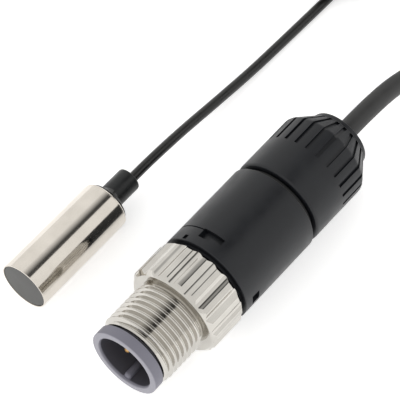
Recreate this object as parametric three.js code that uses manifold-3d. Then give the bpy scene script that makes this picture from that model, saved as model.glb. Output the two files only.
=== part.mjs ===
// A miniature inductive proximity sensor: a smooth 8 mm head, an amplifier in its cable, and an M12 plug.
// Millimetres, +Z up. Head and plug lie side by side along +Y, faces towards -Y. The origin is under the
// middle of their common box, on the surface that they lie on.
import * as THREE from 'three';
import { mergeVertices } from 'three/addons/utils/BufferGeometryUtils.js';
import Module from 'manifold-3d';

// ---------- fits ----------
const RUNNING = 0.15; // radial room between rings that turn on each other
const SEATED = 0.12; // radial room round a piece that is pressed or glued in
const FACE_GAP = 0.3; // axial room between two faces that meet
const SHARP = 0.08; // broken edge of turned metal and of the insert

// ---------- plug: lengths are counted from the mouth, radii from the plug's axis ----------
const THREAD_R = 6.0; // M12 x 1
const THREAD_PITCH = 1.0;
const THREAD_DEPTH = 0.61;
const SHANK_WALL = 0.4; // metal between the thread's root and the bore
const INSERT_WALL = 0.6;
const LIP_CHAMFER = 0.32;
const FLANGE_STEP = 0.29; // the insert's flange stays this much inside the thread
const FLANGE_LENGTH = 1.65;
const MOUTH_SEAL_LENGTH = 0.6; // room for the seal ring between flange and thread
const SHANK_LENGTH = 8.3;
const THREAD_RELIEF = 0.55;
const GRIP_STEP = 1.7; // the grip stands this far outside the thread
const GRIP_LENGTH = 6.8;
const GRIP_WALL = 1.25;
const GRIP_CHAMFER = 0.6;
const FLUTE_COUNT = 18;
const FLUTE_DEPTH = 0.45;
const LAND_SHARE = 0.38; // the part of each flute's pitch that stays round
const FLUTE_PHASE = 26; // degrees from the top to the middle of one land
const COLLAR_LENGTH = 1.0;
const CLIP_LENGTH = 0.8;
const CLIP_DEPTH = 0.45;
const CLIP_MOUTH = 3.0;
const SOCKET_DEPTH = 9.0;
const PIN_R = 0.5;
const PIN_CIRCLE_R = 2.5;
const PIN_TIP = 2.75;
const PIN_TAIL_R = 0.85;
const PIN_POINT = 0.25;
const SCREW_R = 0.7;
const KEY_R = 0.55;
const KEY_FRONT = 0.75;
const BODY_STEP = 0.2; // the body is this much slimmer than the grip
const BODY_LENGTH = 15.45;
const BODY_NECK = 0.6; // dark neck between the grip and the body
const BODY_WALL = 2.2;
const TAIL_LENGTH = 8.5;
const TAIL_WALL = 1.1;
const TAIL_PITCH = 1.5;
const TAIL_THREAD_DEPTH = 0.4;
// latch pockets in the body's skin: degrees from the top towards +X, millimetres from the body's front
const POCKET_DEPTH = 0.8;
const POCKETS = [
  { from: -19, to: -4, front: 1.45, rear: 3.05 },
  { from: -5, to: 9, front: 2.05, rear: 3.05 },
  { from: 84, to: 99, front: 1.45, rear: 3.05 },
];
const SEAL_GROOVE = 1.0;
const GLAND_STEP = 0.1;
const GLAND_STRAIGHT = 10.8;
const GLAND_TAPER = 3.5;
const GLAND_RIM = 0.7;
const GLAND_EDGE = 0.4;
const NOSE_R = 4.8;
const RIB_COUNT = 24;
const RIB_LENGTH = 4.6; // straight part of each gland groove
const RIB_WIDTH = 0.45;
const RIB_DEPTH = 0.35;
const RIB_PHASE = 17;
const CABLE_R = 1.55;
const CORE_R = 0.4;
const WASHER_THICKNESS = 0.5;
const CAGE_FINGERS = 6;
const CAGE_SLIT = 0.6;
const CAGE_TIP_R = 2.75;

// ---------- sensing head: lengths are counted from the sensing face ----------
const HEAD_R = 4.0;
const HEAD_WALL = 0.38;
const HEAD_LENGTH = 18.3;
const HEAD_SETBACK = 2.2; // the face lies this far behind the plug's mouth
const HEAD_SPACING = 20.8; // between the two axes
const CAP_WALL = 0.7;
const CAP_LENGTH = 5.0;
const CORE_LENGTH = 2.7;
const POTTING_LENGTH = 3.2;
const SKIRT_WALL = 0.4; // the cap's skirt round the core
const CORE_WALL = 0.45;
const CORE_POST_R = 1.2;
const BOBBIN_WALL = 0.16;
const HEAD_LIP = 0.45;
const BOARD_THICKNESS = 0.6;
const BOOT_R = 1.83;
const BOOT_LENGTH = 5.6; // outside the head
const LEAD_R = 0.78;

// ---------- amplifier in the cable ----------
const AMP_R = 4.5;
const AMP_WALL = 0.6;
const AMP_LENGTH = 40.0;
const AMP_FLANGE = 1.0;
const AMP_BOOT_LENGTH = 6.0;
const AMP_BOOT_WALL = 0.65;
const AMP_PLUG_LENGTH = 3.0;
const LAMP_SETBACK = 9.0;
const LAMP_R = 0.85;

// ---------- cords ----------
// Where a cord comes down: sideways and along from its piece's end, and the share of its first height left.
const LEAD_DROP = [
  [0, -2.4, 1], [0, 0, 1], [-0.05, 3.6, 0.97], [-0.1, 8.6, 0.83], [-0.15, 13.6, 0.61], [-0.1, 18.6, 0.375],
  [-0.05, 23.6, 0.17], [0.1, 28.6, 0.05], [0.2, 33.6, 0], [0.35, 39.6, 0], [0.5, 45.6, 0], [0.55, 50.0, 0],
];
const CABLE_DROP = [
  [0, -2.2, 1], [0, 0, 1], [0, 3.8, 0.99], [0, 8.3, 0.94], [0, 12.8, 0.8], [0.05, 17.0, 0.53],
  [0.05, 21.2, 0.2],
];
// The turn towards its hank, from the middle of the hank's near fold; the third number is its height.
const CABLE_RUN = [[-0.8, -14.9, 1.72], [0.25, -13.0, 1.72]];
// A hank lies along +Y. away: how far its near fold's middle lies behind the piece's end; fold: the radius of
// its folds; run: its straight length.
const LEAD_HANK = { away: 54.6, fold: 4.7, run: 23.2, low: 0.45, high: 6.85 };
const CABLE_HANK = { away: 40.8, fold: 9.3, run: 46.1, low: 0.5, high: 6.75 };
// The wide last fold into the amplifier, from the tip of its boot.
const LEAD_TAIL = [
  [-11.46, -8.62, 5.0], [-7.64, -9.64, 4.2], [-3.82, -8.62, 3.8], [-1.02, -5.82, 4.1], [0, -2, 4.45],
  [0, 0.5, 4.5], [0, 5.5, 4.5],
];
const CABLE_TAIL = [
  [18.94, 11.94, 4.5], [14.82, 13.44, 4.0], [10.43, 13.44, 3.6], [6.31, 11.94, 3.5], [2.96, 9.12, 3.75],
  [0.76, 5.32, 4.2], [0, 1, 4.5], [0, -2, 4.5], [0, -5.5, 4.5],
];
const LEAD_TIE = { width: 2.6, thick: 0.3, room: 0.2 };
const CABLE_TIE = { width: 4.0, thick: 0.3, room: 0.45 };
const SIDE_GAP = 0.6; // between the amplifier and the hank on each side
const REST = 0.02; // a laid cord's skin stays this much above the surface

// ---------- sizes that follow from the ones above ----------
const THREAD_ROOT = THREAD_R - THREAD_DEPTH;
const NUT_BORE = THREAD_ROOT - SHANK_WALL;
const INSERT_R = NUT_BORE - RUNNING;
const SOCKET_R = INSERT_R - INSERT_WALL;
const FLANGE_R = THREAD_R - FLANGE_STEP;
const GRIP_R = THREAD_R + GRIP_STEP;
const COUNTERBORE_R = GRIP_R - FLUTE_DEPTH - GRIP_WALL;
const BODY_R = GRIP_R - BODY_STEP;
const BODY_BORE = BODY_R - BODY_WALL;
const TAIL_R = BODY_BORE + TAIL_WALL;
const GLAND_R = BODY_R - GLAND_STEP;
const NUT_FRONT = FLANGE_LENGTH + MOUTH_SEAL_LENGTH;
const GRIP_FRONT = NUT_FRONT + SHANK_LENGTH;
const NUT_REAR = GRIP_FRONT + GRIP_LENGTH;
const COUNTERBORE_FRONT = GRIP_FRONT + 0.7;
const COLLAR_FRONT = COUNTERBORE_FRONT + RUNNING;
const CLIP_FRONT = COLLAR_FRONT + COLLAR_LENGTH + RUNNING;
const SPIGOT_FRONT = CLIP_FRONT + CLIP_LENGTH + FACE_GAP;
const BODY_FRONT = NUT_REAR + BODY_NECK;
const INSERT_REAR = BODY_FRONT + 1.0;
const BODY_REAR = BODY_FRONT + BODY_LENGTH;
const TAIL_REAR = BODY_REAR + TAIL_LENGTH;
const GLAND_FRONT = BODY_REAR + SEAL_GROOVE;
const TAPER_START = GLAND_FRONT + GLAND_STRAIGHT;
const RIM_START = TAPER_START + GLAND_TAPER;
const GLAND_REAR = RIM_START + GLAND_RIM;
const BLOCK_FRONT = INSERT_REAR + 2 * FACE_GAP;
const BLOCK_REAR = BODY_REAR - 4.2;
const PIN_REAR = BLOCK_REAR - 1.6;
const SCREW_Y = (BLOCK_FRONT + BLOCK_REAR) / 2;
const SCREW_HOLE_R = SCREW_R + RUNNING;
const JACKET_FRONT = BODY_REAR - 0.8;
const CAGE_FRONT = TAIL_REAR - 2.0;
const CAGE_RIM_REAR = TAIL_REAR + 0.1;
const CAGE_REAR = GLAND_REAR - 2.8;
const WASHER_FRONT = TAIL_REAR + FACE_GAP;
const WASHER_REAR = WASHER_FRONT + WASHER_THICKNESS;
const SHOULDER = WASHER_REAR + RUNNING;
const NOSE_HOLE_FRONT = GLAND_REAR - 2.0;
const NOSE_HOLE_R = CABLE_R + 0.5;
const GRIP_HOLE_R = CABLE_R + SEATED;

const PLUG_X = (HEAD_SPACING + HEAD_R - GRIP_R) / 2;
const HEAD_X = PLUG_X - HEAD_SPACING;
const PLUG_Y = -GLAND_REAR / 2;
const PLUG_PLACE = [PLUG_X, PLUG_Y, GRIP_R];
const HEAD_PLACE = [HEAD_X, PLUG_Y + HEAD_SETBACK, HEAD_R];
const HEAD_BORE = HEAD_R - HEAD_WALL;
const HEAD_REAR = HEAD_PLACE[1] + HEAD_LENGTH;
const BOARD_LENGTH = HEAD_LENGTH - CAP_LENGTH - 2 * FACE_GAP - POTTING_LENGTH;
const CAP_R = HEAD_BORE - SEATED;
const FERRITE_R = CAP_R - SKIRT_WALL - SEATED;
const FERRITE_BORE = FERRITE_R - CORE_WALL;
const CORE_FLOOR = CORE_LENGTH - 0.7; // depth of the ring-shaped hollow for the coil
const BOBBIN_R = FERRITE_BORE - SEATED;
const BOBBIN_BORE = CORE_POST_R + SEATED;
const BOBBIN_CORE = BOBBIN_BORE + 0.14;
const AMP_BORE = AMP_R - AMP_WALL;
const AMP_END = AMP_LENGTH / 2 + SEATED + AMP_FLANGE; // from its middle to a cap's outer face
const AMP_REACH = AMP_END + AMP_BOOT_LENGTH;
const LEAD_END = [HEAD_X, HEAD_REAR + BOOT_LENGTH];
const CABLE_END = [PLUG_X, PLUG_Y + GLAND_REAR];
const LEAD_LANDS_X = LEAD_END[0] + LEAD_DROP.at(-1)[0]; // the lead runs straight on into its hank's right side
const LEAD_HANK_AT = [LEAD_LANDS_X - LEAD_HANK.fold, LEAD_END[1] + LEAD_HANK.away];
const AMP_X = LEAD_LANDS_X + LEAD_R + SIDE_GAP + AMP_R;
const AMP_TIP = LEAD_HANK_AT[1] + 2; // its lead boot's tip
const AMP_Y = AMP_TIP + AMP_REACH;
const CABLE_HANK_AT = [AMP_X + AMP_R + SIDE_GAP + CABLE_R + CABLE_HANK.fold, CABLE_END[1] + CABLE_HANK.away];

const PLUG_SIDES = 32;
const HEAD_SIDES = 24;
const SMALL_SIDES = 16;
const PIN_SIDES = 10;

const wasm = await Module();
wasm.setup();

// ---------- solids ----------

// Joins a closed geometry's shared points and returns it as a solid that can be cut.
function toSolid(geometry) {
  const bare = new THREE.BufferGeometry();
  bare.setAttribute('position', geometry.getAttribute('position'));
  bare.setIndex(geometry.index);
  const merged = mergeVertices(bare, 1e-4);
  const corners = [];
  for (let i = 0; i < merged.index.count; i += 3) {
    const [a, b, c] = [0, 1, 2].map((k) => merged.index.getX(i + k));
    if (a !== b && b !== c && a !== c) corners.push(a, b, c);
  }
  const vertProperties = new Float32Array(merged.attributes.position.array);
  return new wasm.Manifold(new wasm.Mesh({ numProp: 3, vertProperties, triVerts: new Uint32Array(corners) }));
}

// Turns a profile of [radius, length] points about +Y. A profile off the axis is closed into a ring.
function turned(profile, sides = PLUG_SIDES) {
  let area = 0;
  profile.forEach(([r, y], i) => {
    const [nextR, nextY] = profile[(i + 1) % profile.length];
    area += r * nextY - nextR * y;
  });
  const points = (area > 0 ? profile : [...profile].reverse()).map(([r, y]) => new THREE.Vector2(r, y));
  const touchesAxis = points[0].x === 0 && points.at(-1).x === 0;
  if (!touchesAxis) points.push(points[0].clone());
  return toSolid(new THREE.LatheGeometry(points, sides));
}

// A plain ring or rod between two lengths.
function ring(innerR, outerR, front, rear, sides = PLUG_SIDES) {
  const outside = [[outerR, front], [outerR, rear]];
  const inside = [[innerR, rear], [innerR, front]];
  return turned(innerR > 0 ? [...outside, ...inside] : [[0, front], ...outside, [0, rear]], sides);
}

// Extrudes an outline drawn in X and Z along +Y.
function pushed(shape, front, rear) {
  const geometry = new THREE.ExtrudeGeometry(shape, { depth: rear - front, bevelEnabled: false });
  geometry.rotateX(Math.PI / 2).translate(0, rear, 0);
  return toSolid(geometry);
}

function block(sizeX, sizeY, sizeZ, centre = [0, 0, 0]) {
  return toSolid(new THREE.BoxGeometry(sizeX, sizeY, sizeZ).translate(...centre));
}

// Turns a solid about the plug's or the head's own axis; degrees run from the top towards +X.
const about = (solid, degrees) => solid.rotate([0, degrees, 0]);

// A circle of n points, for the sections of round cords.
function roundShape(radius, sides) {
  const corners = Array.from({ length: sides }, (_, i) => {
    const angle = (i * 2 * Math.PI) / sides;
    return new THREE.Vector2(radius * Math.cos(angle), radius * Math.sin(angle));
  });
  return new THREE.Shape(corners);
}

// A round cord along chosen points.
function cord(points, radius, steps, sides = 8) {
  const path = new THREE.CatmullRomCurve3(points.map((p) => new THREE.Vector3(...p)), false, 'centripetal');
  const section = roundShape(radius, sides);
  return toSolid(new THREE.ExtrudeGeometry(section, { steps, bevelEnabled: false, extrudePath: path }));
}

// ---------- the group and its nodes ----------
const sensor = new THREE.Group();

const FINISH = {
  nickel: { color: 0xcfc8be, roughness: 0.22, metalness: 1 },
  blackPlastic: { color: 0x2d2e30, roughness: 0.55, metalness: 0 },
  greyPlastic: { color: 0xa6a5ad, roughness: 0.5, metalness: 0 },
  facePlastic: { color: 0x646462, roughness: 0.6, metalness: 0 },
  rubber: { color: 0x191919, roughness: 0.7, metalness: 0 },
  cableSkin: { color: 0x383838, roughness: 0.6, metalness: 0 },
  leadSkin: { color: 0x242422, roughness: 0.4, metalness: 0 },
  gold: { color: 0xd6a85a, roughness: 0.25, metalness: 1 },
  copper: { color: 0xb8693c, roughness: 0.35, metalness: 1 },
  steel: { color: 0xb9bcc0, roughness: 0.3, metalness: 1 },
  whitePlastic: { color: 0xe2ded2, roughness: 0.5, metalness: 0 },
  ferrite: { color: 0x3a3a3d, roughness: 0.8, metalness: 0 },
  board: { color: 0x1f5a36, roughness: 0.5, metalness: 0 },
  resin: { color: 0x1c1c1e, roughness: 0.3, metalness: 0 },
  chip: { color: 0x17181a, roughness: 0.6, metalness: 0 },
  tan: { color: 0xb98a4a, roughness: 0.5, metalness: 0 },
  amber: { color: 0xd98a2a, roughness: 0.2, metalness: 0 },
  brown: { color: 0x5a3420, roughness: 0.5, metalness: 0 },
  blue: { color: 0x1f4fa0, roughness: 0.5, metalness: 0 },
  black: { color: 0x151515, roughness: 0.5, metalness: 0 },
};

function add(name, solid, finish, place = [0, 0, 0], parent = sensor) {
  const { vertProperties, triVerts } = solid.getMesh();
  const geometry = new THREE.BufferGeometry();
  geometry.setAttribute('position', new THREE.BufferAttribute(vertProperties, 3));
  geometry.setIndex(new THREE.BufferAttribute(triVerts, 1));
  geometry.computeVertexNormals();
  const mesh = new THREE.Mesh(geometry, new THREE.MeshStandardMaterial(FINISH[finish]));
  mesh.name = name;
  mesh.position.set(...place);
  parent.add(mesh);
}

// ---------- plug ----------
const onPinCircle = [45, 135, 225, 315].map((degrees) => {
  const angle = THREE.MathUtils.degToRad(degrees);
  return { degrees, x: PIN_CIRCLE_R * Math.sin(angle), z: PIN_CIRCLE_R * Math.cos(angle) };
});

// The insert: flange and socket at the mouth, a sleeve inside the nut, a collar that the clip holds.
function contactInsert() {
  const sealSeat = FLANGE_LENGTH - 0.6; // the seal ring starts inside the flange's rear face
  const seatR = FLANGE_R - 2 * SHARP;
  const collarR = COUNTERBORE_R - RUNNING;
  const collarRear = COLLAR_FRONT + COLLAR_LENGTH;
  const through = 1; // a cut's overrun past the face that it opens
  let solid = turned([
    [0, SOCKET_DEPTH], [SOCKET_R, SOCKET_DEPTH], [SOCKET_R, LIP_CHAMFER], [SOCKET_R + LIP_CHAMFER, 0],
    [FLANGE_R - SHARP, 0], [FLANGE_R, SHARP], [FLANGE_R, FLANGE_LENGTH], [seatR, FLANGE_LENGTH],
    [seatR, sealSeat], [INSERT_R, sealSeat], [INSERT_R, COLLAR_FRONT], [collarR, COLLAR_FRONT],
    [collarR, collarRear], [INSERT_R, collarRear], [INSERT_R, INSERT_REAR], [0, INSERT_REAR],
  ]);
  const key = ring(0, KEY_R, KEY_FRONT, SOCKET_DEPTH + through, PIN_SIDES);
  solid = solid.add(key.translate([0, 0, RUNNING - SOCKET_R]));
  for (const pin of onPinCircle) {
    const hole = ring(0, PIN_R + SEATED, SOCKET_DEPTH - through, INSERT_REAR + through, PIN_SIDES);
    solid = solid.subtract(hole.translate([pin.x, 0, pin.z]));
  }
  return solid;
}

function contactPin() {
  return turned([
    [0, PIN_TIP], [PIN_R - PIN_POINT, PIN_TIP], [PIN_R, PIN_TIP + PIN_POINT], [PIN_R, BLOCK_FRONT],
    [PIN_TAIL_R, BLOCK_FRONT + FACE_GAP], [PIN_TAIL_R, PIN_REAR], [0, PIN_REAR],
  ], PIN_SIDES);
}

// One flute's pitch: a round land, then a shallow hollow.
function gripOutline() {
  const outline = [];
  const pitch = (2 * Math.PI) / FLUTE_COUNT;
  const land = pitch * LAND_SHARE;
  const hollowSteps = 4;
  for (let i = 0; i < FLUTE_COUNT; i += 1) {
    const middle = THREE.MathUtils.degToRad(FLUTE_PHASE) + i * pitch;
    const at = (angle, radius) => {
      outline.push(new THREE.Vector2(radius * Math.sin(angle), radius * Math.cos(angle)));
    };
    at(middle - land / 2, GRIP_R);
    at(middle, GRIP_R);
    for (let k = 0; k < hollowSteps; k += 1) {
      const share = k / hollowSteps;
      const sink = FLUTE_DEPTH * Math.sin(Math.PI * share);
      at(middle + land / 2 + share * (pitch - land), GRIP_R - sink);
    }
  }
  return new THREE.Shape(outline);
}

// The coupling nut: threaded shank and fluted grip in one, hollow, with a groove for its clip.
function couplingNut() {
  const past = 0.1; // the chamfering solid stands this much outside the grip
  const through = 1; // a cut's overrun past the face that it opens
  const chamfer = turned([
    [0, GRIP_FRONT], [GRIP_R - GRIP_CHAMFER, GRIP_FRONT], [GRIP_R + past, GRIP_FRONT + GRIP_CHAMFER + past],
    [GRIP_R + past, NUT_REAR - GRIP_CHAMFER], [GRIP_R - GRIP_CHAMFER + past, NUT_REAR], [0, NUT_REAR],
  ]);
  const grip = pushed(gripOutline(), GRIP_FRONT, NUT_REAR).intersect(chamfer);
  const firstCrest = NUT_FRONT + THREAD_PITCH;
  const profile = [[0, NUT_FRONT], [THREAD_ROOT, NUT_FRONT], [THREAD_ROOT, firstCrest - THREAD_PITCH / 2]];
  const lastCrest = Math.floor((SHANK_LENGTH - THREAD_RELIEF - THREAD_PITCH) / THREAD_PITCH);
  const crestLand = THREAD_PITCH / 8;
  for (let i = 0; i <= lastCrest; i += 1) {
    const crest = firstCrest + i * THREAD_PITCH;
    profile.push([THREAD_R, crest - crestLand / 2], [THREAD_R, crest + crestLand / 2]);
    profile.push([THREAD_ROOT, crest + THREAD_PITCH / 2]);
  }
  profile.push([THREAD_ROOT, GRIP_FRONT + past], [0, GRIP_FRONT + past]);
  const clipRear = CLIP_FRONT + CLIP_LENGTH;
  const clipGroove = ring(0, COUNTERBORE_R + CLIP_DEPTH, CLIP_FRONT - RUNNING, clipRear + RUNNING);
  return turned(profile)
    .add(grip)
    .subtract(ring(0, NUT_BORE, NUT_FRONT - through, NUT_REAR + through))
    .subtract(ring(0, COUNTERBORE_R, COUNTERBORE_FRONT, NUT_REAR + through))
    .subtract(clipGroove);
}

// The split clip that sits in the nut's groove behind the insert's collar.
function nutClip() {
  const inner = INSERT_R + 2 * RUNNING;
  const whole = ring(inner, COUNTERBORE_R + CLIP_DEPTH - SEATED, CLIP_FRONT, CLIP_FRONT + CLIP_LENGTH);
  const mouth = block(CLIP_MOUTH, 2 * CLIP_LENGTH, 2 * THREAD_R, [0, CLIP_FRONT + CLIP_LENGTH / 2, THREAD_R]);
  return whole.subtract(mouth);
}

// A cutter for one pocket in the body's skin.
function skinPocket({ from, to, front, rear }) {
  const span = THREE.MathUtils.degToRad(to - from);
  const shape = new THREE.Shape();
  const outer = BODY_R + POCKET_DEPTH;
  const inner = BODY_R - POCKET_DEPTH;
  const steps = 6;
  for (let k = 0; k <= steps; k += 1) {
    const angle = (span * k) / steps;
    const point = [outer * Math.sin(angle), outer * Math.cos(angle)];
    if (k === 0) shape.moveTo(...point);
    else shape.lineTo(...point);
  }
  for (let k = steps; k >= 0; k -= 1) {
    const angle = (span * k) / steps;
    shape.lineTo(inner * Math.sin(angle), inner * Math.cos(angle));
  }
  return about(pushed(shape, BODY_FRONT + front, BODY_FRONT + rear), from);
}

// The body: spigot inside the nut, a smooth shell with latch pockets, a threaded tail for the gland.
function connectorBody() {
  const spigotR = COUNTERBORE_R - RUNNING;
  const neckR = spigotR + RUNNING + 0.4;
  const edge = 0.2;
  const rootR = TAIL_R - TAIL_THREAD_DEPTH;
  const profile = [
    [INSERT_R + RUNNING, SPIGOT_FRONT], [spigotR, SPIGOT_FRONT], [spigotR, NUT_REAR + FACE_GAP / 2],
    [neckR, NUT_REAR + FACE_GAP / 2], [neckR, BODY_FRONT], [BODY_R - edge, BODY_FRONT],
    [BODY_R, BODY_FRONT + edge], [BODY_R, BODY_REAR - edge], [BODY_R - edge, BODY_REAR],
    [TAIL_R - edge, BODY_REAR], [TAIL_R - edge, GLAND_FRONT + edge],
  ];
  for (let y = GLAND_FRONT + SEAL_GROOVE; y < TAIL_REAR - TAIL_PITCH; y += TAIL_PITCH) {
    profile.push([rootR, y], [TAIL_R, y + TAIL_PITCH * 0.4], [TAIL_R, y + TAIL_PITCH * 0.6]);
  }
  profile.push(
    [rootR, TAIL_REAR], [BODY_BORE, TAIL_REAR],
    [BODY_BORE, INSERT_REAR + FACE_GAP], [INSERT_R + RUNNING, INSERT_REAR + FACE_GAP],
  );
  return POCKETS.reduce((solid, pocket) => solid.subtract(skinPocket(pocket)), turned(profile));
}

function terminalBlock() {
  let solid = ring(0, BODY_BORE - RUNNING, BLOCK_FRONT, BLOCK_REAR);
  for (const pin of onPinCircle) {
    const tailHole = ring(0, PIN_TAIL_R + SEATED, 0, 2 * BLOCK_REAR, PIN_SIDES);
    const screwHole = ring(0, SCREW_HOLE_R, PIN_CIRCLE_R, 2 * BODY_BORE, PIN_SIDES)
      .rotate([90, 0, 0])
      .translate([0, SCREW_Y, 0]);
    solid = solid.subtract(tailHole.translate([pin.x, 0, pin.z])).subtract(about(screwHole, pin.degrees));
  }
  return solid;
}

// A grub screw that clamps a wire in the pin's tail; it stands along +Z before it is turned to its pin.
function terminalScrew() {
  const foot = PIN_CIRCLE_R + PIN_TAIL_R + SEATED;
  const head = BODY_BORE - 2 * RUNNING;
  const rod = ring(0, SCREW_R, foot, head, PIN_SIDES).rotate([90, 0, 0]);
  const slot = block(4 * SCREW_R, 0.3, 0.8, [0, 0, head]);
  return rod.subtract(slot).translate([0, SCREW_Y, 0]);
}

// The slit cage that the gland nut's cone closes on the cable, with a rim that seats in the body's tail.
function clampCage() {
  const rimR = BODY_BORE - RUNNING;
  const fingerR = rimR - 1.35;
  const bridge = 0.6; // the fingers hang together over this length
  let solid = turned([
    [GRIP_HOLE_R, CAGE_FRONT], [rimR, CAGE_FRONT], [rimR, CAGE_RIM_REAR], [fingerR, CAGE_RIM_REAR],
    [fingerR - 0.1, CAGE_RIM_REAR + bridge], [CAGE_TIP_R, CAGE_REAR], [GRIP_HOLE_R, CAGE_REAR],
  ]);
  const slitLength = CAGE_REAR - CAGE_RIM_REAR;
  const slitY = CAGE_RIM_REAR + bridge + slitLength / 2;
  for (let i = 0; i < CAGE_FINGERS; i += 1) {
    const slit = block(CAGE_SLIT, slitLength, BODY_R, [0, slitY, BODY_R / 2 + CAGE_SLIT]);
    solid = solid.subtract(about(slit, (i * 360) / CAGE_FINGERS));
  }
  return solid;
}

// The gland nut: plain in front, grooved and tapered behind, with a rounded rim round the cable.
function glandNut() {
  const threadR = TAIL_R + RUNNING;
  const coneR = NOSE_R + 0.15;
  const rimEdge = 0.3;
  const coneTopR = BODY_BORE - SEATED - 0.5;
  const coneTipR = CAGE_TIP_R + RUNNING;
  let solid = turned([
    [threadR, GLAND_FRONT], [GLAND_R - GLAND_EDGE, GLAND_FRONT], [GLAND_R, GLAND_FRONT + GLAND_EDGE],
    [GLAND_R, TAPER_START], [coneR, RIM_START], [NOSE_R, RIM_START + 0.1],
    [NOSE_R, GLAND_REAR - rimEdge], [NOSE_R - rimEdge, GLAND_REAR], [NOSE_HOLE_R, GLAND_REAR],
    [NOSE_HOLE_R, NOSE_HOLE_FRONT], [coneTipR, NOSE_HOLE_FRONT - 0.4], [coneTopR, SHOULDER],
    [threadR, SHOULDER],
  ]);
  const past = 1; // the cutter stands this far outside the nut
  const short = 0.1; // the grooves run out this much ahead of the cone's two ends
  const outline = new THREE.Shape();
  outline.moveTo(GLAND_R + past, TAPER_START - RIB_LENGTH);
  outline.lineTo(GLAND_R - RIB_DEPTH, TAPER_START - RIB_LENGTH);
  outline.lineTo(GLAND_R - RIB_DEPTH, TAPER_START - short);
  outline.lineTo(coneR - RIB_DEPTH, RIM_START - short);
  outline.lineTo(coneR + past, RIM_START - short);
  outline.lineTo(GLAND_R + past, TAPER_START);
  const cutter = new THREE.ExtrudeGeometry(outline, { depth: RIB_WIDTH, bevelEnabled: false });
  cutter.translate(0, 0, -RIB_WIDTH / 2);
  const groove = toSolid(cutter);
  for (let i = 0; i < RIB_COUNT; i += 1) {
    solid = solid.subtract(about(groove, RIB_PHASE - 90 + (i * 360) / RIB_COUNT));
  }
  return solid;
}

// A bare wire's insulation, from a pin's tail to the cable's jacket.
function wireCore(pin, jacketX, jacketZ) {
  const from = [pin.x, PIN_REAR + FACE_GAP, pin.z];
  const straight = [pin.x, BLOCK_REAR + 2 * FACE_GAP, pin.z];
  const gathered = [jacketX, JACKET_FRONT - 3 * CORE_R, jacketZ];
  const to = [jacketX, JACKET_FRONT - FACE_GAP, jacketZ];
  return cord([from, straight, gathered, to], CORE_R, 10);
}

function addPlug() {
  add('contact_insert', contactInsert(), 'greyPlastic', PLUG_PLACE);
  const sealFront = FLANGE_LENGTH - 0.45;
  const mouthSeal = ring(INSERT_R + SEATED, FLANGE_R - 2 * SHARP - SEATED, sealFront, NUT_FRONT - FACE_GAP / 2);
  add('mouth_seal_ring', mouthSeal, 'rubber', PLUG_PLACE);
  onPinCircle.forEach((pin, i) => {
    add(`contact_pin_${i + 1}`, contactPin().translate([pin.x, 0, pin.z]), 'gold', PLUG_PLACE);
  });
  add('coupling_nut', couplingNut(), 'nickel', PLUG_PLACE);
  add('nut_clip', nutClip(), 'steel', PLUG_PLACE);
  add('connector_body', connectorBody(), 'blackPlastic', PLUG_PLACE);
  add('terminal_block', terminalBlock(), 'whitePlastic', PLUG_PLACE);
  onPinCircle.forEach((pin, i) => {
    add(`terminal_screw_${i + 1}`, about(terminalScrew(), pin.degrees), 'steel', PLUG_PLACE);
  });
  const spread = 1.4 * CORE_R; // the three cores lie round the cable's axis
  const rise = 0.75 * CORE_R;
  add('core_brown', wireCore(onPinCircle[0], spread, rise), 'brown', PLUG_PLACE);
  add('core_black', wireCore(onPinCircle[1], 0, -spread), 'black', PLUG_PLACE);
  add('core_blue', wireCore(onPinCircle[3], -spread, rise), 'blue', PLUG_PLACE);
  const jacketEnd = ring(0, CABLE_R, JACKET_FRONT, GLAND_REAR - 2.5, SMALL_SIDES);
  add('cable_jacket_end', jacketEnd, 'cableSkin', PLUG_PLACE);
  const sealR = TAIL_R + SEATED;
  const glandSeal = ring(sealR, BODY_R - 0.6, BODY_REAR + FACE_GAP / 2, GLAND_FRONT - FACE_GAP / 2);
  add('gland_seal_ring', glandSeal, 'rubber', PLUG_PLACE);
  const grommet = ring(GRIP_HOLE_R, BODY_BORE - RUNNING, BODY_REAR + 2 * FACE_GAP, CAGE_FRONT - FACE_GAP);
  add('cable_grommet', grommet, 'rubber', PLUG_PLACE);
  add('clamp_cage', clampCage(), 'whitePlastic', PLUG_PLACE);
  const washer = ring(BODY_BORE - 2 * RUNNING - 0.85, TAIL_R - SEATED, WASHER_FRONT, WASHER_REAR);
  add('thrust_washer', washer, 'steel', PLUG_PLACE);
  add('gland_nut', glandNut(), 'blackPlastic', PLUG_PLACE);
}

// ---------- sensing head ----------
// A tube, open in front; its rear rim is turned in over the resin.
function headCase() {
  const lipR = HEAD_BORE - HEAD_LIP;
  const roll = 0.5;
  return turned([
    [HEAD_BORE, 0], [HEAD_R - SHARP, 0], [HEAD_R, SHARP], [HEAD_R, HEAD_LENGTH - roll],
    [HEAD_R - 0.12, HEAD_LENGTH - 0.18], [HEAD_R - 0.4, HEAD_LENGTH], [lipR, HEAD_LENGTH],
    [lipR, HEAD_LENGTH - 0.35], [HEAD_BORE, HEAD_LENGTH - roll],
  ], HEAD_SIDES);
}

// A pot core: a middle post and an outer wall on one floor, open towards the sensing face.
function ferriteCore(front) {
  const floor = front + CORE_FLOOR;
  return turned([
    [0, front], [CORE_POST_R, front], [CORE_POST_R, floor], [FERRITE_BORE, floor], [FERRITE_BORE, front],
    [FERRITE_R, front], [FERRITE_R, front + CORE_LENGTH], [0, front + CORE_LENGTH],
  ], HEAD_SIDES);
}

function coilBobbin(front) {
  const start = front + SEATED;
  const rear = front + CORE_FLOOR - SEATED;
  return turned([
    [BOBBIN_BORE, start], [BOBBIN_R, start], [BOBBIN_R, start + BOBBIN_WALL],
    [BOBBIN_CORE, start + BOBBIN_WALL], [BOBBIN_CORE, rear - BOBBIN_WALL], [BOBBIN_R, rear - BOBBIN_WALL],
    [BOBBIN_R, rear], [BOBBIN_BORE, rear],
  ], HEAD_SIDES);
}

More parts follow.
